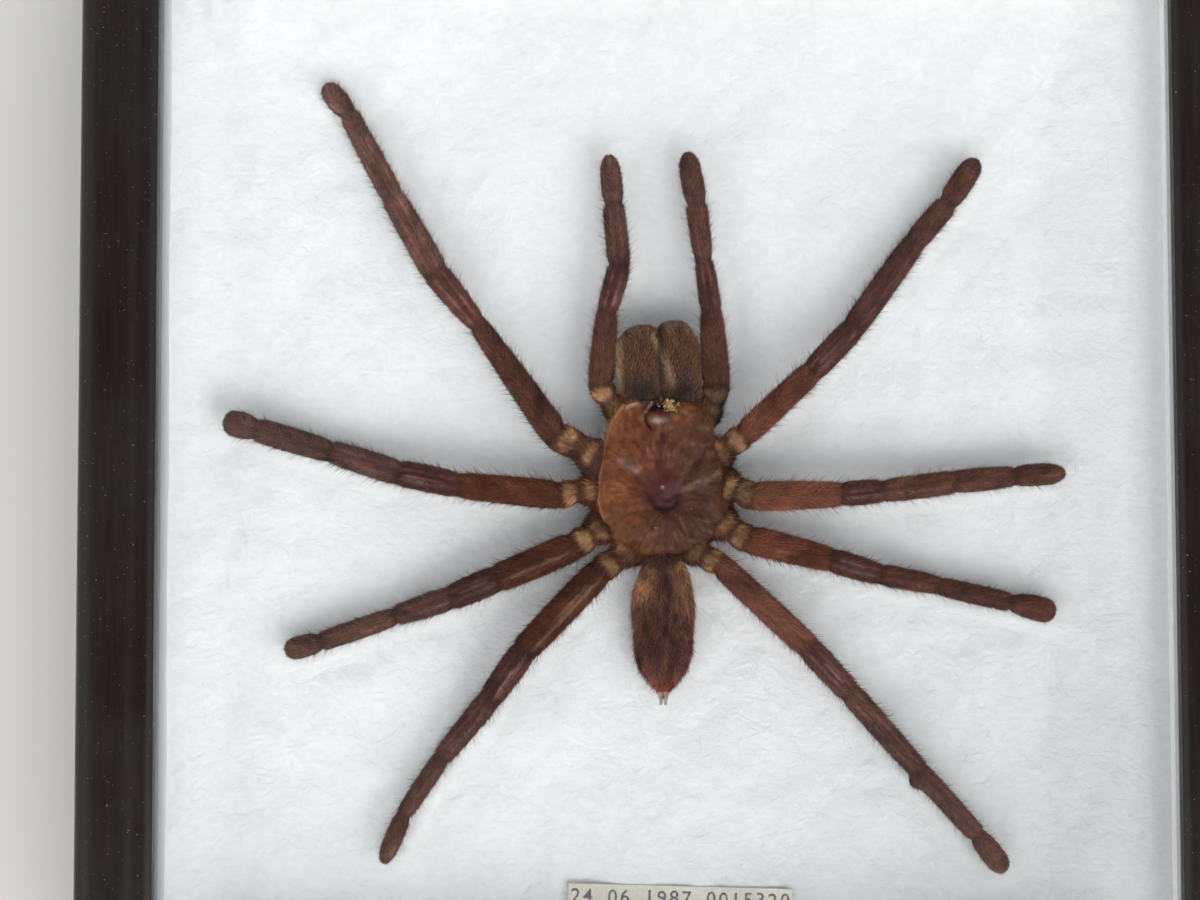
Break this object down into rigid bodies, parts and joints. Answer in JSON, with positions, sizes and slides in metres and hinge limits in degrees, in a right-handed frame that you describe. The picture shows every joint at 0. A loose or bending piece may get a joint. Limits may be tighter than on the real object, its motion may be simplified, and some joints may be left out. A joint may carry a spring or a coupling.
{
  "type": "framed tarantula specimen",
  "caption": "Square black-lacquered box frame with a glass front, holding a dried hairy spider spread flat on white cotton wadding above a small numbered label strip.",
  "frame": {"origin": "centre of the square rear face, on the surface that the frame lies on", "axes": "+Z out of the glass, along the frame's depth; +Y toward the top of the frame and the spider's head; +X to the right as seen through the glass"},
  "size_m": [0.2, 0.2, 0.03],
  "materials": {
    "black_lacquer": "black lacquer over wood, semi-gloss, lightly worn on the edges",
    "clear_glass": "clear picture glass",
    "white_card": "white card, matt",
    "brown_hardboard": "brown hardboard, matt",
    "point_steel": "bright steel sheet",
    "hanger_steel": "zinc-coated steel",
    "rivet_brass": "dull brass",
    "white_cotton": "loose white cotton wadding",
    "label_paper": "cream paper with dark typed numbers",
    "carapace_shell": "dry red-brown shell with flattened golden hair, half gloss",
    "belly_hair": "brown hair, rusty at the front and tip",
    "jaw_hair": "olive-brown hair with pale bands",
    "palp_hair": "dark brown hair",
    "leg_hair": "dark brown velvety hair, redder on the femora"
  },
  "bodies": {
    "root": {"rail_left": "black_lacquer", "rail_right": "black_lacquer", "rail_top": "black_lacquer", "rail_bottom": "black_lacquer", "glass_pane": "clear_glass", "liner_left": "white_card", "liner_right": "white_card", "liner_top": "white_card", "liner_bottom": "white_card", "backing_board": "brown_hardboard", "point_1": "point_steel", "point_2": "point_steel", "point_3": "point_steel", "point_4": "point_steel", "point_5": "point_steel", "point_6": "point_steel", "point_7": "point_steel", "point_8": "point_steel", "hanger_plate": "hanger_steel", "hanger_rivet_left": "rivet_brass", "hanger_rivet_right": "rivet_brass", "cotton_bed": "white_cotton", "label": "label_paper", "carapace": "carapace_shell", "abdomen": "belly_hair", "chelicera_left": "jaw_hair", "chelicera_right": "jaw_hair", "palp_left": "palp_hair", "palp_right": "palp_hair", "leg_left_1": "leg_hair", "leg_left_2": "leg_hair", "leg_left_3": "leg_hair", "leg_left_4": "leg_hair", "leg_right_1": "leg_hair", "leg_right_2": "leg_hair", "leg_right_3": "leg_hair", "leg_right_4": "leg_hair"}
  },
  "joints": []
}
